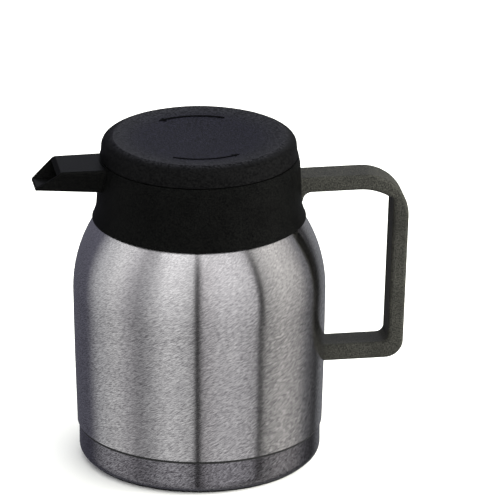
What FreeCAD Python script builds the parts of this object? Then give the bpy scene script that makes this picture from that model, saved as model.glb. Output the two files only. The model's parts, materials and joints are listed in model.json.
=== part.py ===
"""Vacuum coffee carafe: steel flask, moulded spout collar, side handle and screw-in stopper lid.

Millimetres, +Z up.  The origin is on the carafe's axis at the surface it stands on.
The handle points along +X and the spout along -X.
"""

import FreeCAD, Part
import math
import os
import re
import Sketcher

Vector = FreeCAD.Vector

# ---------------------------------------------------------------- driving dimensions

SIZES = {
    # steel body
    "shell_gauge": 0.8,
    "flask_gauge": 0.6,
    "waist_radius": 72.9,
    "lower_side_radius": 74.05,
    "lower_side_height": 58.0,
    "body_radius": 75.0,
    "bulge_height": 105.0,
    "shoulder_bend": 80.0,
    "shoulder_height": 149.0,
    "seam_height": 21.8,
    "neck_radius": 50.5,
    "mouth_height": 163.0,
    "vacuum_gap": 3.2,
    "flask_floor": 15.6,
    "pan_height": 9.6,
    "ring_bottom": 156.0,
    "ring_top": 158.0,
    # base
    "cup_radius": 71.8,
    "cup_lift": 0.8,
    "cup_corner": 6.5,
    "cup_top": 20.1,
    "seam_clearance": 0.3,
    "foot_inner": 55.5,
    "foot_outer": 63.5,
    "foot_lip_radius": 67.2,
    "foot_height": 2.4,
    # collar and spout
    "collar_foot_radius": 63.4,
    "collar_foot_height": 149.8,
    "collar_waist_radius": 60.8,
    "collar_waist_height": 160.0,
    "collar_shoulder_radius": 59.9,
    "collar_shoulder_height": 182.7,
    "collar_top_radius": 58.9,
    "collar_top": 187.8,
    "cavity_radius": 57.0,
    "hook_height": 154.5,
    "cavity_floor": 167.5,
    "bore_radius": 45.8,
    "tube_radius": 48.7,
    "tube_bottom": 149.6,
    "seat_radius": 41.0,
    "seat_height": 151.8,
    "gasket_height": 2.0,
    "spout_top": 186.7,
    "spout_mouth": 84.0,
    "spout_tip": 98.5,
    "spout_tip_height": 175.0,
    "spout_wall": 2.0,
    "spout_half_root": 16.8,
    "spout_half_tip": 15.9,
    "spout_root_low": 170.8,
    "spout_tip_low": 174.0,
    # screw thread between stopper and collar
    "thread_lead": 24.0,
    "thread_starts": 3,
    "ramp_angle": 70.0,
    "lug_angle": 50.0,
    "ramp_height": 160.0,
    "lug_height": 157.3,
    "lug_thickness": 2.4,
    "ramp_thickness": 2.2,
    # stopper and lid
    "stopper_radius": 43.4,
    "stopper_bottom": 155.0,
    "stopper_wall": 2.4,
    "plug_radius": 40.3,
    "seal_radius": 43.4,
    "plug_bottom": 148.5,
    "lid_plate": 191.4,
    "disc_floor": 195.2,
    "disc_radius": 40.4,
    "lid_bottom": 188.3,
    "lid_foot_radius": 58.4,
    "lid_radius": 57.9,
    "lid_side_top": 194.4,
    "bevel_radius": 54.5,
    "bevel_height": 198.85,
    "rim_radius": 51.0,
    "lid_top": 200.2,
    "dish_bend": 425.0,
    "spigot_radius": 54.4,
    "spigot_bottom": 183.6,
    # handle
    "handle_width": 21.0,
    "handle_edge": 2.4,
    "arm_top": 173.3,
    "arm_underside": 163.8,
    "grip_outside": 124.5,
    "grip_inside": 115.1,
    "grip_lean": 3.0,
    "top_bend": 27.0,
    "low_bend": 11.0,
    "low_arm_top": 66.6,
    "low_arm_bottom": 56.3,
    "low_arm_root": 72.0,
    "tongue_width": 12.0,
    "tongue_fit": 0.2,
    "tongue_bottom": 167.0,
    "tongue_top": 171.0,
    "tongue_reach": 15.0,
    "bracket_bottom": 59.4,
    "bracket_top": 62.4,
    "bracket_reach": 18.0,
    "bracket_flare": 1.8,
    # screws
    "screw_radius": 1.5,
    "head_radius": 3.2,
    "head_height": 1.6,
    "handle_screw_length": 4.2,
    "lid_screw_length": 10.6,
    "lid_screw_circle": 34.0,
    "top_screw_reach": 69.0,
    "low_screw_reach": 84.0,
}

DOC = FreeCAD.newDocument("vacuum_carafe")
SHEET = DOC.addObject("Spreadsheet::Sheet", "sizes")
for row, (alias, size) in enumerate(SIZES.items(), start=1):
    SHEET.set("A%d" % row, alias)
    SHEET.set("B%d" % row, str(size))
    SHEET.setAlias("B%d" % row, alias)
DOC.recompute()

FUNCTIONS = ("sin", "cos", "sqrt")
NODES = []


# ---------------------------------------------------------------- sheet and sketch helpers

def linked(text):
    """The expression with every sheet name written as sizes.name."""
    def full_name(word):
        return word.group() if word.group() in FUNCTIONS else "sizes." + word.group()
    return re.sub(r"[a-z][a-z_]*", full_name, str(text))


def number(text):
    """What an expression over the sheet's names comes to."""
    return float(SHEET.evalExpression(linked(text)))


def bind(item, place, text):
    item.setExpression(place, linked(text))


def new_body(label):
    body = DOC.addObject("PartDesign::Body", label)
    body.Label = label
    NODES.append(body)
    return body


def origin_plane(body, role):
    return next(plane for plane in body.Origin.OriginFeatures if plane.Role == role)


def new_sketch(body, role, offset="0"):
    """A sketch on one of the body's origin planes, moved along its normal by the offset."""
    sketch = body.newObject("Sketcher::SketchObject", "sketch")
    sketch.AttachmentSupport = (origin_plane(body, role), [""])
    sketch.MapMode = "FlatFace"
    sketch.AttachmentOffset = FreeCAD.Placement(Vector(0, 0, number(offset)), FreeCAD.Rotation())
    bind(sketch, "AttachmentOffset.Base.z", offset)
    return sketch


def pin(sketch, piece, end, spot):
    """Ties one end of a sketch piece to the place that a pair of expressions gives."""
    for kind, text in zip(("DistanceX", "DistanceY"), spot):
        index = sketch.addConstraint(Sketcher.Constraint(kind, -1, 1, piece, end, number(text)))
        bind(sketch, "Constraints[%d]" % index, text)


def flat(spot):
    return Vector(number(spot[0]), number(spot[1]), 0)


def add_edge(sketch, start, through, stop):
    """Adds a line, or an arc through a third point; returns the piece and which end starts it."""
    if through is None:
        return sketch.addGeometry(Part.LineSegment(flat(start), flat(stop))), 1, 2
    turn = (flat(through) - flat(start)).cross(flat(stop) - flat(through)).z
    first, last = (start, stop) if turn > 0 else (stop, start)
    circle = Part.Arc(flat(first), flat(through), flat(last)).toShape().Curve
    circle = Part.Circle(circle.Center, Vector(0, 0, 1), circle.Radius)
    sweep = [circle.parameter(flat(first)), circle.parameter(flat(last))]
    arc = sketch.addGeometry(Part.ArcOfCircle(circle, *sweep))
    marker = sketch.addGeometry(Part.Point(flat(through)), True)
    pin(sketch, marker, 1, through)
    sketch.addConstraint(Sketcher.Constraint("PointOnObject", marker, 1, arc))
    return (arc, 1, 2) if turn > 0 else (arc, 2, 1)


def draw_outline(sketch, path):
    """Draws a closed outline.  (u, v) is a corner; (u, v, "arc") is a point on the arc between
    the corners on each side of it."""
    count = len(path)
    pieces = []
    for place, step in enumerate(path):
        if len(step) == 3:
            continue
        following = path[(place + 1) % count]
        through = following if len(following) == 3 else None
        stop = path[(place + 2) % count] if through else following
        pieces.append((step, add_edge(sketch, step, through, stop)))
    for place, (step, (piece, first, _)) in enumerate(pieces):
        pin(sketch, piece, first, step)
        before, _, last = pieces[place - 1][1]
        sketch.addConstraint(Sketcher.Constraint("Coincident", before, last, piece, first))


def draw_circle(sketch, centre, radius):
    circle = sketch.addGeometry(Part.Circle(flat(centre), Vector(0, 0, 1), number(radius)))
    pin(sketch, circle, 3, centre)
    index = sketch.addConstraint(Sketcher.Constraint("Radius", circle, number(radius)))
    bind(sketch, "Constraints[%d]" % index, radius)


def outline(body, path, role="XZ_Plane", offset="0"):
    sketch = new_sketch(body, role, offset)
    draw_outline(sketch, path)
    return sketch


def rectangle(low, high):
    return [low, (high[0], low[1]), high, (low[0], high[1])]


def walled(path, gauge):
    """Closes an open line into a sheet-metal section.  Each step of the path is (r, z, lean),
    where lean is how far the outward face tips up from level; the wall lies behind the face."""
    outside = [(step[0], step[1]) + tuple(step[3:]) for step in path]
    inside = []
    for step in reversed(path):
        inner_r = "%s - %s * cos(%s)" % (step[0], gauge, step[2])
        inner_z = "%s - %s * sin(%s)" % (step[1], gauge, step[2])
        inside.append((inner_r, inner_z) + tuple(step[3:]))
    return outside + inside


# ---------------------------------------------------------------- feature helpers

def add_feature(body, kind, sketch, **settings):
    feature = body.newObject("PartDesign::" + kind, kind.lower())
    feature.Profile = sketch
    for name, setting in settings.items():
        setattr(feature, name, setting)
    body.Tip = feature
    return feature


def turned(label, path):
    """A body of revolution about the carafe's axis."""
    body = new_body(label)
    turn(body, "Revolution", path)
    return body


def turn(body, kind, path):
    sketch = outline(body, path)
    return add_feature(body, kind, sketch, ReferenceAxis=(sketch, ["V_Axis"]), Angle=360)


def slab(body, kind, path, width, role="XZ_Plane"):
    """A Pad or Pocket as wide as given, half of it on each side of the plane."""
    feature = add_feature(body, kind, outline(body, path, role), SideType="Symmetric")
    bind(feature, "Length", width)
    return feature


def upward(body, kind, sketch, height):
    """A Pad or Pocket that runs upward from a level sketch."""
    feature = add_feature(body, kind, sketch, SideType="One side", Reversed=(kind == "Pocket"))
    bind(feature, "Length", height)
    return feature


def round_hole(body, centre, radius, bottom, height):
    sketch = new_sketch(body, "XY_Plane", bottom)
    draw_circle(sketch, centre, radius)
    return upward(body, "Pocket", sketch, height)


def round_edges(body, radius, chosen):
    """Rounds those edges of the body that the test picks."""
    DOC.recompute()
    base = body.Tip
    names = ["Edge%d" % index for index, edge in enumerate(base.Shape.Edges, start=1) if chosen(edge)]
    fillet = body.newObject("PartDesign::Fillet", "fillet")
    fillet.Base = (base, names)
    bind(fillet, "Radius", radius)
    body.Tip = fillet
    return fillet


def repeat_round_axis(body, feature, count):
    pattern = body.newObject("PartDesign::PolarPattern", "pattern")
    pattern.Originals = [feature]
    pattern.Axis = (origin_axis(body, "Z_Axis"), [""])
    pattern.Angle = 360
    bind(pattern, "Occurrences", count)
    body.Tip = pattern
    return pattern


def origin_axis(body, role):
    return next(axis for axis in body.Origin.OriginFeatures if axis.Role == role)


def thread_ridge(body, path, angle):
    """Ridges that climb the thread's helix, one for each start."""
    sketch = outline(body, path)
    ridge = add_feature(body, "AdditiveHelix", sketch, ReferenceAxis=(sketch, ["V_Axis"]),
                        Mode="pitch-height-angle")
    bind(ridge, "Pitch", "thread_lead")
    bind(ridge, "Height", "thread_lead * %s / 360" % angle)
    return repeat_round_axis(body, ridge, "thread_starts")


def cylinder(name, radius, height, spot):
    """An upright Part cylinder whose sizes and place follow the sheet."""
    item = DOC.addObject("Part::Cylinder", name)
    bind(item, "Radius", radius)
    bind(item, "Height", height)
    for axis, text in zip("xyz", spot):
        bind(item, "Placement.Base." + axis, text)
    return item


def fused(label, pieces):
    item = DOC.addObject("Part::MultiFuse", label)
    item.Shapes = pieces
    item.Label = label
    NODES.append(item)
    return item


# ---------------------------------------------------------------- steel body

def shell_side():
    """The outer shell's face from its lower edge up to the start of the shoulder."""
    return [("waist_radius", "seam_height", 0),
            ("lower_side_radius", "lower_side_height", 0, "arc"),
            ("body_radius", "bulge_height", 0)]


def shoulder_point(inset, rise):
    """A point of the shoulder's arc, a rise above the bulge and inset from the shell's face."""
    radius = "(shoulder_bend - %s)" % inset
    return ("body_radius - shoulder_bend + sqrt(%s * %s - %s * %s)" % (radius, radius, rise, rise),
            "bulge_height + %s" % rise)


def make_outer_shell():
    shoulder_middle = shoulder_point("0", "22")
    shoulder_end = shoulder_point("0", "(shoulder_height - bulge_height)")
    path = shell_side() + [
        shoulder_middle + (16, "arc"),
        shoulder_end + (33,),
        ("neck_radius + 6.8", "mouth_height - 11.4", 57, "arc"),
        ("neck_radius + 3", "mouth_height - 9.8", 70),
        ("neck_radius + 0.8", "mouth_height - 8.9", 42, "arc"),
        ("neck_radius", "mouth_height - 7.2", 0),
        ("neck_radius", "mouth_height", 0)]
    turned("outer_shell", walled(path, "shell_gauge"))


def make_inner_flask():
    inset = "(shell_gauge + vacuum_gap)"
    body_side = "body_radius - shell_gauge - vacuum_gap"
    neck = "neck_radius - shell_gauge"
    path = [
        ("0", "flask_floor", -90),
        ("58", "flask_floor", -90),
        ("66.8", "flask_floor + 3.3", -45, "arc"),
        (body_side + " - 1", "flask_floor + 11.9", 0),
        (body_side, "bulge_height", 0),
        shoulder_point(inset, "21") + (16, "arc"),
        shoulder_point(inset, "38") + (30,),
        (neck + " + 6.8", "mouth_height - 16.7", 52, "arc"),
        (neck + " + 2.3", "mouth_height - 14.7", 66),
        (neck + " + 0.7", "mouth_height - 13.8", 40, "arc"),
        (neck, "mouth_height - 12", 0),
        (neck, "mouth_height", 0)]
    turned("inner_flask", walled(path, "flask_gauge"))


def make_shell_bottom():
    """The pan that closes the vacuum space, welded inside the shell's lower edge."""
    rim = "waist_radius - shell_gauge"
    cup_bore = "cup_radius - shell_gauge"
    path = [
        ("0", "pan_height", -90),
        (cup_bore + " - 7", "pan_height", -90),
        (cup_bore + " - 2", "pan_height + 2", -45, "arc"),
        (cup_bore, "pan_height + 7", 0),
        (cup_bore, "seam_height - seam_clearance", 0),
        (rim, "seam_height + 1.6", 0),
        (rim, "seam_height + 7", 0)]
    turned("shell_bottom", walled(path, "shell_gauge"))


def make_radiation_shield():
    """Foil wrapped round the flask in the vacuum space."""
    outside = "body_radius - shell_gauge - 0.8 * vacuum_gap"
    turned("radiation_shield", rectangle((outside + " - 0.3", "32"), (outside, "90")))


def make_getter():
    body = new_body("getter")
    sketch = new_sketch(body, "XY_Plane", "pan_height + shell_gauge")
    draw_circle(sketch, ("30", "0"), "5")
    upward(body, "Pad", sketch, "2")


def make_vacuum_seal():
    """The solder plug that closes the evacuation hole under the pan."""
    turned("vacuum_seal", [("0", "pan_height - 1.4"), ("3", "pan_height - 1.4"),
                           ("4.5", "pan_height"), ("0", "pan_height")])


def make_neck_ring():
    """Steel ring welded round the neck, under which the collar snaps."""
    turned("neck_ring", rectangle(("neck_radius", "ring_bottom"), ("neck_radius + 4.1", "ring_top")))


def make_neck_gasket():
    turned("neck_gasket", rectangle(("tube_radius + 0.4", "mouth_height"),
                                    ("tube_radius + 3.7", "mouth_height + gasket_height")))


# ---------------------------------------------------------------- base

def make_base_cup():
    corner = "cup_radius - cup_corner"
    gauge = "shell_gauge"
    turned("base_cup", [
        ("0", "cup_lift"),
        ("foot_inner", "cup_lift"),
        ("foot_inner", "foot_height"),
        ("foot_outer", "foot_height"),
        ("foot_outer", "cup_lift"),
        (corner, "cup_lift"),
        (corner + " + cup_corner * sin(45)", "cup_lift + cup_corner * (1 - cos(45))", "arc"),
        ("cup_radius", "cup_lift + cup_corner"),
        ("cup_radius", "cup_top"),
        ("cup_radius - " + gauge, "cup_top"),
        ("cup_radius - " + gauge, "cup_lift + cup_corner"),
        (corner + " + (cup_corner - shell_gauge) * sin(45)",
         "cup_lift + cup_corner - (cup_corner - shell_gauge) * cos(45)", "arc"),
        (corner, "cup_lift + " + gauge),
        ("foot_outer + " + gauge, "cup_lift + " + gauge),
        ("foot_outer + " + gauge, "foot_height + " + gauge),
        ("foot_inner - " + gauge, "foot_height + " + gauge),
        ("foot_inner - " + gauge, "cup_lift + " + gauge),
        ("0", "cup_lift + " + gauge)])


def make_base_gasket():
    """The black rubber ring in the groove between the base cup and the shell's lower edge."""
    turned("base_gasket", rectangle(("cup_radius - shell_gauge", "cup_top"),
                                    ("cup_radius + 0.3", "seam_height - seam_clearance")))


def make_foot_ring():
    """The rubber ring it stands on, set in the cup's groove, with a lip under the cup's edge."""
    turned("foot_ring", [
        ("foot_inner", "0"), ("foot_lip_radius - 0.4", "0"), ("foot_lip_radius", "0.4"),
        ("foot_lip_radius", "cup_lift"), ("foot_outer", "cup_lift"), ("foot_outer", "foot_height"),
        ("foot_inner", "foot_height")])


# ---------------------------------------------------------------- collar with spout

def collar_face():
    return [("collar_foot_radius", "collar_foot_height"),
            ("collar_waist_radius + 0.95", "collar_foot_height + 4.3", "arc"),
            ("collar_waist_radius", "collar_waist_height"),
            ("collar_shoulder_radius", "collar_shoulder_height"),
            ("collar_top_radius", "collar_top")]


def make_collar():
    """The outer wall above the shoulder, with the spout and the tongue that carries the handle."""
    collar = turned("collar", collar_face() + [
        ("cavity_radius", "collar_top"),
        ("cavity_radius", "collar_foot_height + 6"),
        ("collar_foot_radius - 1.2", "collar_foot_height")])
    add_spout(collar)
    turn(collar, "Groove", rectangle(("0", "collar_foot_height"), ("cavity_radius", "collar_top")))
    slab(collar, "Pad", rectangle(("collar_waist_radius - 1.5", "tongue_bottom"),
                                  ("collar_waist_radius + tongue_reach", "tongue_top")), "tongue_width")
    round_hole(collar, ("top_screw_reach", "0"), "screw_radius", "tongue_bottom - 1",
               "tongue_top - tongue_bottom + 2")


def make_neck_sleeve():
    """The inner sleeve: the cavity's floor, the threaded bore with its seat, and the snap hook."""
    floor_underside = "mouth_height + gasket_height"
    hook_inside = "neck_radius + 3"
    hook_outside = "neck_radius + 6.3"
    sleeve = turned("neck_sleeve", [
        ("cavity_radius", "cavity_floor"),
        ("bore_radius", "cavity_floor"),
        ("bore_radius", "seat_height"),
        ("seat_radius", "seat_height"),
        ("seat_radius", "tube_bottom"),
        ("tube_radius", "tube_bottom"),
        ("tube_radius", floor_underside),
        ("neck_radius + 4.5", floor_underside),
        ("neck_radius + 4.5", "ring_bottom - 0.3"),
        (hook_inside, "ring_bottom - 0.3"),
        (hook_inside, "hook_height"),
        (hook_outside, "hook_height"),
        (hook_outside, floor_underside),
        ("cavity_radius", floor_underside)])
    thread_ridge(sleeve, [
        ("bore_radius + 0.5", "ramp_height"),
        ("bore_radius - 1.9", "ramp_height + 0.4"),
        ("bore_radius - 1.9", "ramp_height + ramp_thickness - 0.4"),
        ("bore_radius + 0.5", "ramp_height + ramp_thickness")], "ramp_angle")


def spout_section(body, reach, half_top, top, half_low, low):
    """An upright trapezoid across the spout, at a reach out from the axis along -X."""
    return outline(body, [("-" + half_low, low), (half_low, low), (half_top, top), ("-" + half_top, top)],
                   role="YZ_Plane", offset="-" + reach)


def add_loft(body, kind, sections):
    loft = add_feature(body, kind, sections[0], Ruled=True)
    loft.Sections = sections[1:]
    return loft


def add_spout(collar):
    """A closed-top duct that narrows outward and is cut off on a slant at the mouth."""
    add_loft(collar, "AdditiveLoft", [
        spout_section(collar, "55", "spout_half_root", "spout_top",
                      "(spout_half_root - 5.7)", "spout_root_low"),
        spout_section(collar, "100", "spout_half_tip", "spout_top",
                      "(spout_half_tip - 6.7)", "spout_tip_low")])
    round_edges(collar, "1.6", runs_along_spout)
    slant = [("-spout_mouth", "spout_top"), ("-spout_tip", "spout_tip_height"),
             ("-spout_tip", "spout_tip_height - 6"), ("-108", "spout_tip_height - 6"),
             ("-108", "spout_top + 4"), ("-spout_mouth", "spout_top + 4")]
    slab(collar, "Pocket", slant, "60")
    add_loft(collar, "SubtractiveLoft", [
        spout_section(collar, "53", "(spout_half_root - 2.1)", "(spout_top - spout_wall)",
                      "(spout_half_root - 7.2)", "(spout_root_low + 1.8)"),
        spout_section(collar, "101", "(spout_half_tip - 2.1)", "(spout_top - spout_wall)",
                      "(spout_half_tip - 8.5)", "(spout_tip_low + 1.8)")])


def runs_along_spout(edge):
    """True for the long straight edges of the spout, two above and two below."""
    ends = [vertex.Point for vertex in edge.Vertexes]
    return len(ends) == 2 and abs(ends[0].x - ends[1].x) > 30 and min(end.x for end in ends) < -90


# ---------------------------------------------------------------- handle

def make_handle():
    """A C-shaped strap handle that fits over the collar's tongue and the bracket's tongue."""
    handle = new_body("handle")
    grip_low_out = "grip_outside - grip_lean"
    grip_low_in = "grip_inside - grip_lean"
    slab(handle, "Pad", [
        ("59", "arm_top"),
        ("grip_outside - top_bend", "arm_top"),
        ("grip_outside - top_bend * (1 - cos(45))",
         "arm_top - top_bend * (1 - sin(45))", "arc"),
        ("grip_outside", "arm_top - top_bend"),
        (grip_low_out, "low_arm_bottom + low_bend"),
        (grip_low_out + " - low_bend * (1 - cos(45))",
         "low_arm_bottom + low_bend * (1 - sin(45))", "arc"),
        (grip_low_out + " - low_bend", "low_arm_bottom"),
        ("low_arm_root", "low_arm_bottom"),
        ("low_arm_root", "low_arm_top"),
        (grip_low_in + " - 4.5", "low_arm_top"),
        (grip_low_in + " - 1.3", "low_arm_top + 1.3", "arc"),
        (grip_low_in, "low_arm_top + 4.5"),
        ("grip_inside", "arm_underside - 7.7"),
        ("grip_inside - 0.7", "arm_underside - 6.2", "arc"),
        ("grip_inside - 2.4", "arm_underside - 5.4"),
        ("grip_inside - 11", "arm_underside - 1.4", "arc"),
        ("grip_inside - 20.6", "arm_underside"),
        ("66", "arm_underside"),
        ("62.4", "arm_underside - 1.5", "arc"),
        ("60.9", "arm_underside - 5"),
        ("59", "arm_underside - 5")], "handle_width")
    round_edges(handle, "handle_edge", on_handle_side)
    turn(handle, "Groove", collar_face() + [("0", "collar_top"), ("0", "collar_foot_height")])
    cut_back_to_shell(handle)
    for low, high, width in tongue_steps():
        fitted_low = (low[0], low[1] + " - tongue_fit")
        fitted_high = (high[0] + " + tongue_fit", high[1] + " + tongue_fit")
        slab(handle, "Pocket", rectangle(fitted_low, fitted_high), width + " + 2 * tongue_fit")
    for reach, underside in (("top_screw_reach", "arm_underside"), ("low_screw_reach", "low_arm_bottom")):
        round_hole(handle, (reach, "0"), "head_radius + 0.2", underside + " - 0.1", "head_height + 0.3")
        round_hole(handle, (reach, "0"), "screw_radius + 0.2", underside + " - 0.1", "4")


def cut_back_to_shell(body):
    """Takes away whatever reaches inside the shell's outer face below the shoulder."""
    face = [step[:2] + tuple(step[3:]) for step in shell_side()]
    turn(body, "Groove", face + [("0", "bulge_height"), ("0", "seam_height")])


def bracket_steps():
    """Low corner, high corner and width of the bracket's blade and of its foot on the shell."""
    blade_end = "low_arm_root + bracket_reach"
    foot_end = "low_arm_root + 3.5"
    return [(("low_arm_root", "bracket_bottom"), (blade_end, "bracket_top"), "tongue_width"),
            (("low_arm_root", "bracket_bottom - bracket_flare"),
             (foot_end, "bracket_top + bracket_flare"), "tongue_width + 3")]


def tongue_steps():
    """The same three values for each slot in the handle: the collar's tongue, then the bracket."""
    collar_tongue = (("collar_waist_radius - 5", "tongue_bottom"),
                     ("collar_waist_radius + tongue_reach", "tongue_top"), "tongue_width")
    return [collar_tongue] + bracket_steps()


def on_handle_side(edge):
    """True for the outline's edges on the handle's two flat sides, but not at its cut ends."""
    ends = [vertex.Point for vertex in edge.Vertexes]
    side = number("handle_width") / 2
    on_side = all(abs(abs(end.y) - side) < 0.01 for end in ends) and abs(ends[0].y - ends[-1].y) < 0.01
    low_root = number("low_arm_root")
    at_cut = all(end.x < 60 for end in ends) or all(abs(end.x - low_root) < 0.01 for end in ends)
    return on_side and not at_cut and edge.BoundBox.XMax > 61


def make_handle_bracket():
    """The steel tongue welded to the shell inside the handle's lower arm."""
    bracket = new_body("handle_bracket")
    for low, high, width in bracket_steps():
        slab(bracket, "Pad", rectangle(low, high), width)
    cut_back_to_shell(bracket)
    round_hole(bracket, ("low_screw_reach", "0"), "screw_radius", "bracket_bottom - 0.5", "4")


def make_handle_screws():
    pieces = []
    for reach, underside in (("top_screw_reach", "arm_underside"), ("low_screw_reach", "low_arm_bottom")):
        head_bottom = underside + " + 0.2"
        pieces.append(cylinder("head", "head_radius", "head_height", (reach, "0", head_bottom)))
        pieces.append(cylinder("shank", "screw_radius", "head_height + handle_screw_length",
                               (reach, "0", head_bottom)))
    fused("handle_screws", pieces)


# ---------------------------------------------------------------- stopper

def make_stopper():
    """The threaded plug under the lid, open at the bottom for its insulation."""
    inside = "stopper_radius - stopper_wall"
    stopper = turned("stopper", [
        ("0", "lid_plate"), ("stopper_radius", "lid_plate"), ("stopper_radius", "stopper_bottom"),
        (inside, "stopper_bottom"), (inside, "lid_plate - 2"), ("0", "lid_plate - 2")])
    thread_ridge(stopper, [
        ("stopper_radius - 0.5", "lug_height"),
        ("stopper_radius + 2", "lug_height + 0.4"),
        ("stopper_radius + 2", "lug_height + lug_thickness - 0.4"),
        ("stopper_radius - 0.5", "lug_height + lug_thickness")], "lug_angle")
    bosses = new_sketch(stopper, "XY_Plane", "lid_plate - 11.4")
    for centre in lid_screw_places():
        draw_circle(bosses, centre, "screw_radius + 2.1")
    upward(stopper, "Pad", bosses, "9.9")
    holes = new_sketch(stopper, "XY_Plane", "lid_plate - 10")
    for centre in lid_screw_places():
        draw_circle(holes, centre, "screw_radius")
    upward(stopper, "Pocket", holes, "12")


def lid_screw_places():
    return [("lid_screw_circle * cos(%d)" % angle, "lid_screw_circle * sin(%d)" % angle)
            for angle in (45, 135, 225, 315)]


def make_stopper_base():
    """The cap that closes the plug's bottom and holds the seal."""
    inside = "stopper_radius - stopper_wall - 0.1"
    turned("stopper_base", [
        ("0", "plug_bottom + 6"), ("plug_radius - 6", "plug_bottom + 6"),
        ("plug_radius - 6", "plug_bottom"), ("plug_radius", "plug_bottom"),
        ("plug_radius", "plug_bottom + 3.2"), ("plug_radius - 2.4", "plug_bottom + 3.2"),
        ("plug_radius - 2.4", "stopper_bottom"), (inside, "stopper_bottom"),
        (inside, "stopper_bottom + 2.4"), ("0", "stopper_bottom + 2.4")])


def make_stopper_foam():
    turned("stopper_foam", rectangle(("0", "stopper_bottom + 2.5"),
                                     ("stopper_radius - stopper_wall - 0.3", "lid_plate - 11.5")))


def make_stopper_seal():
    """The silicone ring that presses on the collar's seat."""
    turned("stopper_seal", [
        ("plug_radius - 2.2", "seat_height"),
        ("seal_radius - 0.6", "seat_height"),
        ("seal_radius", "seat_height + 0.7"),
        ("seal_radius", "seat_height + 2.1"),
        ("seal_radius - 0.7", "seat_height + 3"),
        ("plug_radius - 2.2", "seat_height + 3")])


# ---------------------------------------------------------------- lid

def dish_point(reach):
    """A point of the lid's shallow dished top, at a reach from the axis."""
    rim_drop = "sqrt(dish_bend * dish_bend - rim_radius * rim_radius)"
    drop = "sqrt(dish_bend * dish_bend - (%s) * (%s))" % (reach, reach)
    return (reach, "lid_top + %s - %s" % (rim_drop, drop))


def make_lid_cap():
    """The lid's top: a bevelled rim round a dished face, with a recess for the centre disc."""
    recess_edge = "disc_radius + 0.1"
    cap = turned("lid_cap", [
        ("lid_foot_radius", "lid_bottom"),
        ("lid_radius", "lid_side_top"),
        ("lid_radius - 1", "lid_side_top + 2.8", "arc"),
        ("bevel_radius", "bevel_height"),
        ("rim_radius", "lid_top"),
        dish_point("rim_radius - 5") + ("arc",),
        dish_point(recess_edge),
        (recess_edge, "disc_floor"),
        ("0", "disc_floor"),
        ("0", "lid_plate"),
        ("stopper_radius + 1", "lid_plate"),
        ("stopper_radius + 1", "lid_plate + 2.2"),
        ("spigot_radius - 2.4", "lid_plate + 2.2"),
        ("spigot_radius - 2.4", "spigot_bottom"),
        ("spigot_radius", "spigot_bottom"),
        ("spigot_radius", "lid_bottom")])
    round_edges(cap, "0.6", on_lid_rim)
    heads = new_sketch(cap, "XY_Plane", "disc_floor - head_height")
    shanks = new_sketch(cap, "XY_Plane", "lid_plate - 1")
    for centre in lid_screw_places():
        draw_circle(heads, centre, "head_radius + 0.2")
        draw_circle(shanks, centre, "screw_radius + 0.1")
    upward(cap, "Pocket", heads, "head_height + 1")
    upward(cap, "Pocket", shanks, "4")


def on_lid_rim(edge):
    top = number("lid_top")
    return edge.BoundBox.ZMin > top - 0.1 and edge.BoundBox.ZMax < top + 0.1


def make_lid_disc():
    """The cover of the lid's screws, which carries on the dished face to the centre."""
    turned("lid_disc", [
        ("0", "disc_floor"), ("disc_radius", "disc_floor"), dish_point("disc_radius"),
        dish_point("disc_radius / 2") + ("arc",), dish_point("0")])


def make_lid_screws():
    pieces = []
    for spot in lid_screw_places():
        pieces.append(cylinder("head", "head_radius", "head_height", spot + ("disc_floor - head_height",)))
        pieces.append(cylinder("shank", "screw_radius", "lid_screw_length + head_height",
                               spot + ("disc_floor - head_height - lid_screw_length",)))
    fused("lid_screws", pieces)


def make_turn_marks():
    """Two raised arrows on the centre disc, in front and behind, that show which way it opens."""
    rise = 0.3
    inner, outer = (Vector(number(reach), 0, number(height))
                    for reach, height in (dish_point("disc_radius - 7"), dish_point("disc_radius - 0.3")))
    lift = Vector(0, 0, rise)
    skin = Part.Face(Part.makePolygon([inner, outer, outer + lift, inner + lift, inner]))
    skin = skin.revolve(Vector(0, 0, 0), Vector(0, 0, 1), 360)
    arrows = [skin.common(arrow_prism(heading)) for heading in (-90, 90)]
    marks = DOC.addObject("Part::Feature", "turn_marks")
    marks.Shape = Part.makeCompound(arrows)
    marks.Label = "turn_marks"
    NODES.append(marks)


def arrow_prism(heading):
    """An upright prism in the plan shape of a curved arrow, centred on a heading in degrees."""
    middle, half_width, half_head, sweep, head_sweep = 37.0, 0.75, 2.2, 32, 7

    def spot(radius, angle):
        turned_angle = math.radians(heading + angle)
        return Vector(radius * math.cos(turned_angle), radius * math.sin(turned_angle), number("lid_plate"))

    neck = sweep - head_sweep
    edges = [
        Part.Arc(spot(middle + half_width, -sweep), spot(middle + half_width, 0),
                 spot(middle + half_width, neck)).toShape(),
        Part.makePolygon([spot(middle + half_width, neck), spot(middle + half_head, neck),
                          spot(middle, sweep), spot(middle - half_head, neck),
                          spot(middle - half_width, neck)]),
        Part.Arc(spot(middle - half_width, neck), spot(middle - half_width, 0),
                 spot(middle - half_width, -sweep)).toShape(),
        Part.makeLine(spot(middle - half_width, -sweep), spot(middle + half_width, -sweep))]
    wire = Part.Wire([edge for piece in edges for edge in piece.Edges])
    return Part.Face(wire).extrude(Vector(0, 0, 12))


# ---------------------------------------------------------------- whole carafe

def make_all():
    make_outer_shell()
    make_inner_flask()
    make_shell_bottom()
    make_radiation_shield()
    make_getter()
    make_vacuum_seal()
    make_neck_ring()
    make_neck_gasket()
    make_base_cup()
    make_base_gasket()
    make_foot_ring()
    make_collar()
    make_neck_sleeve()
    make_handle()
    make_handle_bracket()
    make_handle_screws()
    make_stopper()
    make_stopper_base()
    make_stopper_foam()
    make_stopper_seal()
    make_lid_cap()
    make_lid_disc()
    make_lid_screws()
    make_turn_marks()


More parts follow.
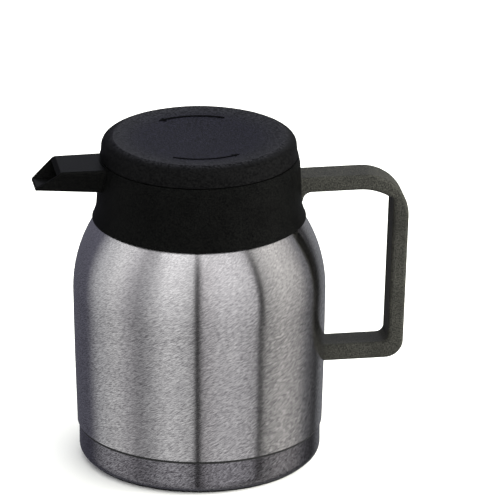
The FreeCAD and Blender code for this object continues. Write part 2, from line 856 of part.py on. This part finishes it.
def check_document():
    """Stops if any object failed to build or any sub-part is empty or invalid."""
    for item in DOC.Objects:
        if "Invalid" in item.State or "Error" in item.State:
            raise RuntimeError("%s (%s) did not build" % (item.Name, item.Label))
    for node in NODES:
        if node.Shape.isNull() or not node.Shape.isValid() or not node.Shape.Solids:
            raise RuntimeError("%s has no valid solid" % node.Label)


def export_nodes():
    os.makedirs("parts", exist_ok=True)
    for node in NODES:
        node.Shape.exportStep("parts/%s.step" % node.Label)
        box = node.Shape.optimalBoundingBox(False)
        print("%-18s solids %d  volume %9.1f  x %.1f..%.1f  z %.1f..%.1f" % (
            node.Label, len(node.Shape.Solids), node.Shape.Volume, box.XMin, box.XMax, box.ZMin, box.ZMax))


make_all()
DOC.recompute()
check_document()
export_nodes()
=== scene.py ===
"""Finishes, light and camera for a vacuum coffee carafe.

Metres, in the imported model's frame: +Z up along the carafe's axis, +X towards the handle.
"""

import bpy
import bmesh
import json
import math
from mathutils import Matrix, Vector

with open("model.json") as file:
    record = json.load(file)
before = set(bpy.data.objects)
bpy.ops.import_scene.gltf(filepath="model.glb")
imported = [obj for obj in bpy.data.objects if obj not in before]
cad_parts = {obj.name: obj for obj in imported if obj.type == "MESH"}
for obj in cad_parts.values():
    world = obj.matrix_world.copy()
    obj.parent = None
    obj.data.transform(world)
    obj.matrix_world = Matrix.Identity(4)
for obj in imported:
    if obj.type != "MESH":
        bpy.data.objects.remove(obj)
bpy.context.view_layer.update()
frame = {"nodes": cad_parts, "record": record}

MM = 0.001

# ---------------------------------------------------------------- camera settings

CAMERA_AZIMUTH = math.radians(-8.5)
CAMERA_ELEVATION = math.radians(20.95)
CAMERA_DISTANCE = 5.0
CAMERA_LENS = 606.0
CAMERA_REACH = 100
AIM_RIGHT = 0.0301
AIM_UP = 0.0259
AIM_HEIGHT = 0.1

# ---------------------------------------------------------------- finish settings

# The steel's grain turns by this many radians for each metre of height, and is drawn out upwards.
GRAIN_TWIST = -28.0
GRAIN_STRETCH = (1, 1, 0.45)
SPECK_SIZE = 0.45 * MM
SPECK_WEIGHT = 0.2
GRAIN_MIDDLE = 0.5 * (1 + SPECK_WEIGHT)
GRAIN_DEPTH = 0.012 * MM
# The grain fades towards an even shade between these heights, on the shoulder: a painted wash of
# bright light that evens out the grain there.
SHOULDER_START = 100.0 * MM
SHOULDER_END = 135.0 * MM
SHOULDER_WASHOUT = 0.45
# Large, faint clouds drift across the steel and the plastics.
STEEL_CLOUD = 22 * MM
STEEL_CLOUD_FADE = 0.16
PLASTIC_CLOUD = 18 * MM
PLASTIC_CLOUD_FADE = 0.3

# Inside this radius the lid's upper face has a deeper grain, and a paler, bluer colour painted as
# top light.
LID_FACE_RADIUS = 51.0 * MM
LID_FACE_OUTSIDE = LID_FACE_RADIUS + 3.4 * MM
LID_FACE_INSIDE = LID_FACE_RADIUS - 0.4 * MM
# The lid's upper face grows paler between these distances from the axis: a painted sheen.
LID_SHEEN_START = LID_FACE_RADIUS - 17 * MM
LID_SHEEN_END = LID_FACE_RADIUS - 3 * MM
LID_GRAIN = 1.3 * MM
LID_GRAIN_DEPTH = 0.3 * MM
LID_SIDE_DEPTH = 0.25

RUBBER_GRAIN = 0.6 * MM
RUBBER_GRAIN_DEPTH = 0.04 * MM
METAL_GRAIN = 0.5 * MM
METAL_GRAIN_DEPTH = 0.02 * MM
FOAM_CELL = 1.4 * MM
FOAM_CELL_DEPTH = 0.3 * MM

# ---------------------------------------------------------------- studio settings

SURROUNDINGS = [
    # degrees round from the camera's side, level of light, tint
    (-180, 0.30, (0.85, 0.88, 1.0)),
    (-166, 0.18, (0.80, 0.80, 1.0)),
    (-124, 0.18, (0.80, 0.80, 1.0)),
    (-106, 0.66, (0.97, 0.98, 1.0)),
    (-84, 0.82, (1.0, 1.0, 1.0)),
    (-71, 0.64, (0.99, 0.98, 1.0)),
    (-59, 0.41, (0.98, 0.97, 1.0)),
    (-50, 0.50, (0.98, 0.98, 1.0)),
    (-31, 0.92, (1.0, 1.0, 1.0)),
    (-17, 0.86, (1.0, 1.0, 1.0)),
    (-5, 0.66, (1.0, 1.0, 1.0)),
    (-3.2, 0.02, (1.0, 0.97, 0.95)),
    (-0.2, 0.02, (1.0, 0.97, 0.97)),
    (2.4, 0.46, (1.0, 0.98, 0.99)),
    (7, 0.66, (1.0, 0.98, 0.99)),
    (20, 0.82, (1.0, 0.99, 1.0)),
    (34, 0.84, (1.0, 0.99, 1.0)),
    (54, 0.66, (1.0, 0.99, 1.0)),
    (57.0, 0.04, (1.0, 0.98, 0.98)),
    (60.0, 0.04, (1.0, 0.98, 0.98)),
    (63.5, 0.50, (1.0, 0.99, 0.96)),
    (85, 0.80, (1.0, 0.98, 0.94)),
    (104, 0.60, (1.0, 0.98, 0.95)),
    (117, 0.26, (0.96, 0.96, 1.0)),
    (138, 0.04, (0.96, 0.96, 1.0)),
    (148, 0.26, (0.94, 0.96, 1.0)),
    (160, 0.34, (0.92, 0.94, 1.0)),
    (180, 0.30, (0.85, 0.88, 1.0)),
]
# The panels' light grows with height on the sky's unit sphere, and above them is a ceiling.
PANELS_FOOT, PANELS_FOOT_LEVEL = -0.6, 0.55
PANELS_HEAD, PANELS_HEAD_LEVEL = 0.45, 1.15
CEILING_START = 0.72
CEILING_FULL = 0.95
CEILING_LIGHT = (0.6, 0.6, 0.62, 1.0)
ROOM_LEFT = (0.12, 0.13, 0.20, 1.0)
ROOM_RIGHT = (3.3, 3.32, 3.05, 1.0)
BACKDROP = (1.0, 1.0, 1.0, 1.0)
BACKDROP_LEVEL = 0.98

FLOOR_RADIUS = 12.0
FLOOR_SEGMENTS = 96
# The floor lies just under the foot ring, so that the two faces don't share a plane.
FLOOR_HEIGHT = -0.2 * MM

LIGHTS = [
    # name, degrees round from the camera's side, degrees up, distance, size, power, colour,
    # whether it shows in what shines
    ("top_light", -20, 66, 3.2, 2.4, 12, (1.0, 1.0, 1.0), True),
    ("back_light", 176, 34, 3.6, 1.8, 14, (0.86, 0.88, 1.0), True),
    ("side_light", 92, 10, 1.6, 1.0, 55, (1.0, 0.99, 0.92), False),
]


# ---------------------------------------------------------------- nodes

class Nodes:
    """A node tree under construction."""

    def __init__(self, tree):
        self.tree = tree

    def add(self, kind, **attributes):
        node = self.tree.nodes.new(kind)
        for name, value in attributes.items():
            setattr(node, name, value)
        return node

    def feed(self, source, socket):
        """Sets a socket to a number or a colour, or links it to another node's output."""
        if isinstance(source, bpy.types.NodeSocket):
            self.tree.links.new(source, socket)
        else:
            socket.default_value = source

    def fed(self, kind, *sources, **attributes):
        """A new node with its first inputs fed in order."""
        node = self.add(kind, **attributes)
        for source, socket in zip(sources, node.inputs):
            self.feed(source, socket)
        return node

    def maths(self, operation, *values):
        return self.fed("ShaderNodeMath", *values, operation=operation).outputs[0]

    def between(self, value, low, high, start, stop):
        """Carries the range low..high over to start..stop, clamped."""
        return self.fed("ShaderNodeMapRange", value, low, high, start, stop).outputs[0]

    def blend(self, factor, first, second, mode="MIX"):
        node = self.add("ShaderNodeMix", data_type="RGBA", blend_type=mode)
        self.feed(factor, node.inputs["Factor"])
        self.feed(first, node.inputs[6])
        self.feed(second, node.inputs[7])
        return node.outputs[2]

    def height_of(self, vector):
        return self.fed("ShaderNodeSeparateXYZ", vector).outputs["Z"]


class Finish(Nodes):
    """A material under construction: a Principled shader and the nodes that feed it."""

    def __init__(self, name, **settings):
        self.material = bpy.data.materials.new(name)
        self.material.use_nodes = True
        super().__init__(self.material.node_tree)
        self.shader = self.tree.nodes["Principled BSDF"]
        for socket, value in settings.items():
            self.shader.inputs[socket.replace("_", " ")].default_value = value
        self.place = self.add("ShaderNodeTexCoord").outputs["Object"]

    def noise(self, size, detail, vector=None, softness=0.5):
        """Noise whose blobs are about the given size in metres across."""
        node = self.add("ShaderNodeTexNoise")
        self.feed(self.place if vector is None else vector, node.inputs["Vector"])
        node.inputs["Scale"].default_value = 1 / size
        node.inputs["Detail"].default_value = detail
        node.inputs["Roughness"].default_value = softness
        return node.outputs["Fac"]

    def stretched(self, scale, vector):
        node = self.add("ShaderNodeMapping")
        self.feed(vector, node.inputs["Vector"])
        node.inputs["Scale"].default_value = scale
        return node.outputs["Vector"]

    def helical(self, twist):
        """The place turned about Z in step with its height, so that grain runs up at a slope."""
        node = self.add("ShaderNodeVectorRotate", rotation_type="Z_AXIS")
        self.feed(self.place, node.inputs["Vector"])
        self.feed(self.maths("MULTIPLY", self.height_of(self.place), twist), node.inputs["Angle"])
        return node.outputs["Vector"]

    def reach(self):
        """How far the place is from the axis."""
        flat = self.stretched((1, 1, 0), self.place)
        return self.fed("ShaderNodeVectorMath", flat, operation="LENGTH").outputs["Value"]

    def bump(self, height, depth):
        node = self.add("ShaderNodeBump")
        node.inputs["Distance"].default_value = depth
        node.inputs["Strength"].default_value = 1.0
        self.feed(height, node.inputs["Height"])
        return node.outputs["Normal"]

    def to_shader(self, **sources):
        for socket, source in sources.items():
            self.feed(source, self.shader.inputs[socket.replace("_", " ")])
        return self.material


def tint(red, green, blue):
    return (red, green, blue, 1.0)


# ---------------------------------------------------------------- materials

def satin_steel(name, light, dark, roughness, contrast, stroke_size):
    """Steel with a fine satin grain that climbs to the right, brushed round the axis."""
    finish = Finish(name, Metallic=1.0, Anisotropic=1.0, Anisotropic_Rotation=0.25)
    slanting = finish.stretched(GRAIN_STRETCH, finish.helical(GRAIN_TWIST))
    strokes = finish.noise(stroke_size, 1.0, slanting)
    specks = finish.noise(SPECK_SIZE, 0.0)
    grain = finish.maths("MULTIPLY_ADD", specks, SPECK_WEIGHT, strokes)
    clouds = finish.noise(STEEL_CLOUD, 3.0)
    shade = finish.between(grain, GRAIN_MIDDLE - contrast, GRAIN_MIDDLE + contrast, 0.0, 1.0)
    # Painted wash of light: up the shoulder the grain evens out towards one even, slightly lighter
    # shade.
    painted_washout = finish.between(finish.height_of(finish.place), SHOULDER_START, SHOULDER_END,
                          0.0, SHOULDER_WASHOUT)
    shade = finish.blend(painted_washout, shade, tint(0.6, 0.6, 0.6))
    colour = finish.blend(shade, dark, light)
    drift = finish.between(clouds, 0.35, 0.7, 0.0, STEEL_CLOUD_FADE)
    colour = finish.blend(drift, colour, tint(0.40, 0.39, 0.42))
    tangent = finish.add("ShaderNodeTangent", direction_type="RADIAL", axis="Z")
    rough = finish.between(grain, 0.4, 0.85, roughness + 0.03, roughness - 0.02)
    return finish.to_shader(Base_Color=colour, Roughness=rough, Tangent=tangent.outputs[0],
                            Normal=finish.bump(grain, GRAIN_DEPTH))


def moulded_plastic(name, light, dark, roughness, grain_size, grain_depth, specular):
    """Plastic with a fine spark-eroded grain and slight colour drift."""
    finish = Finish(name, Specular_IOR_Level=specular)
    grain = finish.noise(grain_size, 3.0, softness=0.6)
    clouds = finish.noise(PLASTIC_CLOUD, 3.0)
    colour = finish.blend(finish.between(grain, 0.35, 0.68, 0.0, 1.0), dark, light)
    drift = finish.between(clouds, 0.35, 0.7, 0.0, PLASTIC_CLOUD_FADE)
    colour = finish.blend(drift, colour, dark)
    rough = finish.between(grain, 0.3, 0.7, roughness - 0.06, roughness + 0.06)
    return finish.to_shader(Base_Color=colour, Roughness=rough,
                            Normal=finish.bump(grain, grain_depth))


def speckled_lid(name):
    """Black plastic whose upper face has a deeper grain and a paler, bluer colour as painted top
    light, with a painted sheen that grows paler towards its rim.
    """
    finish = Finish(name, Specular_IOR_Level=0.04)
    reach = finish.reach()
    face = finish.between(reach, LID_FACE_OUTSIDE, LID_FACE_INSIDE, 0.0, 1.0)
    # Painted sheen: the upper face's colour grows paler towards its rim.
    painted_sheen = finish.between(reach, LID_SHEEN_START, LID_SHEEN_END, 0.0, 1.0)
    grain = finish.noise(LID_GRAIN, 2.0, softness=0.7)
    speck = finish.between(grain, 0.36, 0.64, 0.0, 1.0)
    # The upper face's paler, bluer colour against the darker sides is painted top light; its
    # deeper grain is the finish.
    side = finish.blend(speck, tint(0.0015, 0.0015, 0.0018), tint(0.0055, 0.0055, 0.0058))
    light = finish.blend(painted_sheen, tint(0.0125, 0.012, 0.021), tint(0.022, 0.022, 0.027))
    top = finish.blend(speck, tint(0.0006, 0.0006, 0.0014), light)
    depth = finish.between(face, 0.0, 1.0, LID_SIDE_DEPTH, 1.0)
    rough = finish.between(grain, 0.3, 0.7, 0.42, 0.55)
    bumped = finish.bump(finish.maths("MULTIPLY", grain, depth), LID_GRAIN_DEPTH)
    return finish.to_shader(Base_Color=finish.blend(face, side, top), Roughness=rough,
                            Normal=bumped)


def soft_rubber(name, light, dark):
    finish = Finish(name, Specular_IOR_Level=0.3)
    grain = finish.noise(RUBBER_GRAIN, 3.0)
    colour = finish.blend(grain, dark, light)
    rough = finish.between(grain, 0.3, 0.7, 0.62, 0.8)
    return finish.to_shader(Base_Color=colour, Roughness=rough,
                            Normal=finish.bump(grain, RUBBER_GRAIN_DEPTH))


def plain_metal(name, light, dark, roughness, grain_size=METAL_GRAIN):
    """Metal as it comes off a press or a lathe."""
    finish = Finish(name, Metallic=1.0)
    grain = finish.noise(grain_size, 3.0)
    colour = finish.blend(grain, dark, light)
    rough = finish.between(grain, 0.3, 0.7, roughness - 0.06, roughness + 0.08)
    return finish.to_shader(Base_Color=colour, Roughness=rough,
                            Normal=finish.bump(grain, METAL_GRAIN_DEPTH))


def insulation_foam(name):
    finish = Finish(name, Specular_IOR_Level=0.2)
    cells = finish.add("ShaderNodeTexVoronoi")
    finish.feed(finish.place, cells.inputs["Vector"])
    cells.inputs["Scale"].default_value = 1 / FOAM_CELL
    distance = cells.outputs["Distance"]
    colour = finish.blend(distance, tint(0.80, 0.74, 0.58), tint(0.92, 0.88, 0.76))
    rough = finish.between(distance, 0.0, 0.8, 0.9, 0.75)
    return finish.to_shader(Base_Color=colour, Roughness=rough,
                            Normal=finish.bump(distance, FOAM_CELL_DEPTH))


# For each of the record's slots, what makes it, its light and dark tints, and its other numbers.
RECIPES = {
    # roughness, contrast, stroke size
    "satin_steel": (satin_steel, tint(1.0, 0.985, 0.99), tint(0.28, 0.27, 0.285),
                    0.17, 0.15, 0.54 * MM),
    "base_steel": (satin_steel, tint(0.54, 0.525, 0.56), tint(0.03, 0.025, 0.035),
                   0.2, 0.13, 0.42 * MM),
    # roughness, and the grain's size where it isn't METAL_GRAIN
    "flask_steel": (plain_metal, tint(0.72, 0.72, 0.73), tint(0.60, 0.60, 0.62), 0.28),
    "bracket_steel": (plain_metal, tint(0.58, 0.58, 0.60), tint(0.50, 0.50, 0.52), 0.4),
    "screw_steel": (plain_metal, tint(0.55, 0.55, 0.57), tint(0.44, 0.44, 0.46), 0.35),
    "foil": (plain_metal, tint(0.92, 0.92, 0.93), tint(0.82, 0.82, 0.84), 0.18, 3 * MM),
    "getter_metal": (plain_metal, tint(0.5, 0.5, 0.52), tint(0.36, 0.36, 0.38), 0.6),
    "solder": (plain_metal, tint(0.55, 0.55, 0.57), tint(0.42, 0.42, 0.44), 0.45, 1.5 * MM),
    "silicone": (soft_rubber, tint(0.78, 0.77, 0.74), tint(0.68, 0.67, 0.64)),
    "foot_rubber": (soft_rubber, tint(0.016, 0.016, 0.017), tint(0.008, 0.008, 0.009)),
    # roughness, grain size, grain depth, specular level
    "black_plastic": (moulded_plastic, tint(0.0060, 0.0062, 0.0058), tint(0.0004, 0.0004, 0.0006),
                      0.46, 0.8 * MM, 0.06 * MM, 0.035),
    "handle_plastic": (moulded_plastic, tint(0.056, 0.055, 0.048), tint(0.006, 0.006, 0.0055),
                       0.6, 0.8 * MM, 0.2 * MM, 0.12),
    "mark_plastic": (moulded_plastic, tint(0.0016, 0.0016, 0.002), tint(0.0008, 0.0008, 0.001),
                     0.7, 0.6 * MM, 0.04 * MM, 0.02),
    "stopper_plastic": (moulded_plastic, tint(0.022, 0.022, 0.023), tint(0.014, 0.014, 0.015),
                        0.45, 0.8 * MM, 0.05 * MM, 0.4),
    "lid_plastic": (speckled_lid,),
    "foam": (insulation_foam,),
}


def make_materials():
    materials = {slot: make(slot, *values) for slot, (make, *values) in RECIPES.items()}
    materials["sleeve_plastic"] = materials["stopper_plastic"]
    return materials


def dress_nodes(materials):
    """Gives every CAD node the material of its slot in the record."""
    for part in frame["record"]["subparts"]:
        mesh = frame["nodes"][part["node"]].data
        mesh.materials.clear()
        mesh.materials.append(materials[part["material_slot"]])


# ---------------------------------------------------------------- studio

def direction_at(azimuth, elevation):
    """A unit vector that points out from the carafe, azimuth measured from -Y towards +X."""
    return Vector((math.sin(azimuth) * math.cos(elevation),
                   -math.cos(azimuth) * math.cos(elevation),
                   math.sin(elevation)))


def set_in_scene(name, data):
    placed = bpy.data.objects.new(name, data)
    bpy.context.scene.collection.objects.link(placed)
    return placed


def make_camera():
    back = direction_at(CAMERA_AZIMUTH, CAMERA_ELEVATION)
    right = Vector((math.cos(CAMERA_AZIMUTH), math.sin(CAMERA_AZIMUTH), 0))
    up = back.cross(right)
    camera = set_in_scene("camera", bpy.data.cameras.new("camera"))
    camera.data.lens = CAMERA_LENS
    camera.data.clip_end = CAMERA_REACH
    aim = Vector((0, 0, AIM_HEIGHT)) + right * AIM_RIGHT + up * AIM_UP
    camera.location = aim + back * CAMERA_DISTANCE
    camera.rotation_euler = back.to_track_quat("Z", "Y").to_euler()
    bpy.context.scene.camera = camera


def make_panels(nodes, across, toward, height):
    """Upright soft panels all round, and a ceiling: what shows in the steel."""
    angle = nodes.maths("ARCTAN2", across, toward)
    panels = nodes.fed("ShaderNodeValToRGB", nodes.between(angle, -math.pi, math.pi, 0.0, 1.0))
    stops = panels.color_ramp.elements
    while len(stops) < len(SURROUNDINGS):
        stops.new(0.5)
    for stop, (degrees, level, colour) in zip(stops, SURROUNDINGS):
        stop.position = (degrees + 180) / 360
        stop.color = [level * channel for channel in colour] + [1.0]
    rise = nodes.between(height, PANELS_FOOT, PANELS_HEAD, PANELS_FOOT_LEVEL, PANELS_HEAD_LEVEL)
    lit = nodes.blend(1.0, panels.outputs["Color"], rise, "MULTIPLY")
    ceiling = nodes.between(height, CEILING_START, CEILING_FULL, 0.0, 1.0)
    return nodes.blend(ceiling, lit, CEILING_LIGHT)


def make_surroundings():
    """White for the eye, panels for what shines, and a room brighter on the right for the rest."""
    world = bpy.data.worlds.new("studio")
    bpy.context.scene.world = world
    world.use_nodes = True
    world.cycles.sampling_method = "NONE"
    world.node_tree.nodes.clear()
    nodes = Nodes(world.node_tree)
    direction = nodes.add("ShaderNodeTexCoord").outputs["Generated"]

    def towards(vector):
        dot = nodes.fed("ShaderNodeVectorMath", direction, vector, operation="DOT_PRODUCT")
        return dot.outputs["Value"]

    across = towards((math.cos(CAMERA_AZIMUTH), math.sin(CAMERA_AZIMUTH), 0))
    toward = towards((math.sin(CAMERA_AZIMUTH), -math.cos(CAMERA_AZIMUTH), 0))
    panels = make_panels(nodes, across, toward, nodes.height_of(direction))
    room = nodes.blend(nodes.between(across, -1.0, 1.0, 0.0, 1.0), ROOM_LEFT, ROOM_RIGHT)

    diffuse = nodes.fed("ShaderNodeBackground", room, 1.0).outputs[0]
    backdrop = nodes.fed("ShaderNodeBackground", BACKDROP, BACKDROP_LEVEL).outputs[0]
    shine = nodes.fed("ShaderNodeBackground", panels, 1.0).outputs[0]
    path = nodes.add("ShaderNodeLightPath").outputs
    seen = nodes.fed("ShaderNodeMixShader", path["Is Camera Ray"], diffuse, backdrop).outputs[0]
    mixed = nodes.fed("ShaderNodeMixShader", path["Is Glossy Ray"], seen, shine).outputs[0]
    nodes.fed("ShaderNodeOutputWorld", mixed)


def make_floor():
    shape = bmesh.new()
    bmesh.ops.create_circle(shape, cap_ends=True, segments=FLOOR_SEGMENTS, radius=FLOOR_RADIUS)
    mesh = bpy.data.meshes.new("floor")
    shape.to_mesh(mesh)
    shape.free()
    floor = set_in_scene("floor", mesh)
    finish = Finish("floor", Roughness=0.9, Specular_IOR_Level=0.0)
    mottle = finish.noise(0.4, 2.0)
    mesh.materials.append(finish.to_shader(
        Base_Color=finish.blend(mottle, tint(0.93, 0.93, 0.935), tint(0.95, 0.95, 0.955))))
    floor.location.z = FLOOR_HEIGHT
    floor.visible_glossy = False


def make_light(name, azimuth, elevation, distance, size, power, colour, mirrored):
    """A soft square panel aimed at the carafe; azimuth runs round from the camera's side."""
    light = bpy.data.lights.new(name, "AREA")
    light.shape = "SQUARE"
    light.size = size
    light.energy = power
    light.color = colour
    panel = set_in_scene(name, light)
    outward = direction_at(CAMERA_AZIMUTH + math.radians(azimuth), math.radians(elevation))
    panel.location = Vector((0, 0, AIM_HEIGHT)) + outward * distance
    panel.rotation_euler = outward.to_track_quat("Z", "Y").to_euler()
    panel.visible_camera = False
    panel.visible_glossy = mirrored


def make_studio():
    make_camera()
    make_surroundings()
    make_floor()
    for settings in LIGHTS:
        make_light(*settings)
    bpy.context.scene.view_settings.view_transform = "Standard"


# ---------------------------------------------------------------- the whole picture

dress_nodes(make_materials())
make_studio()
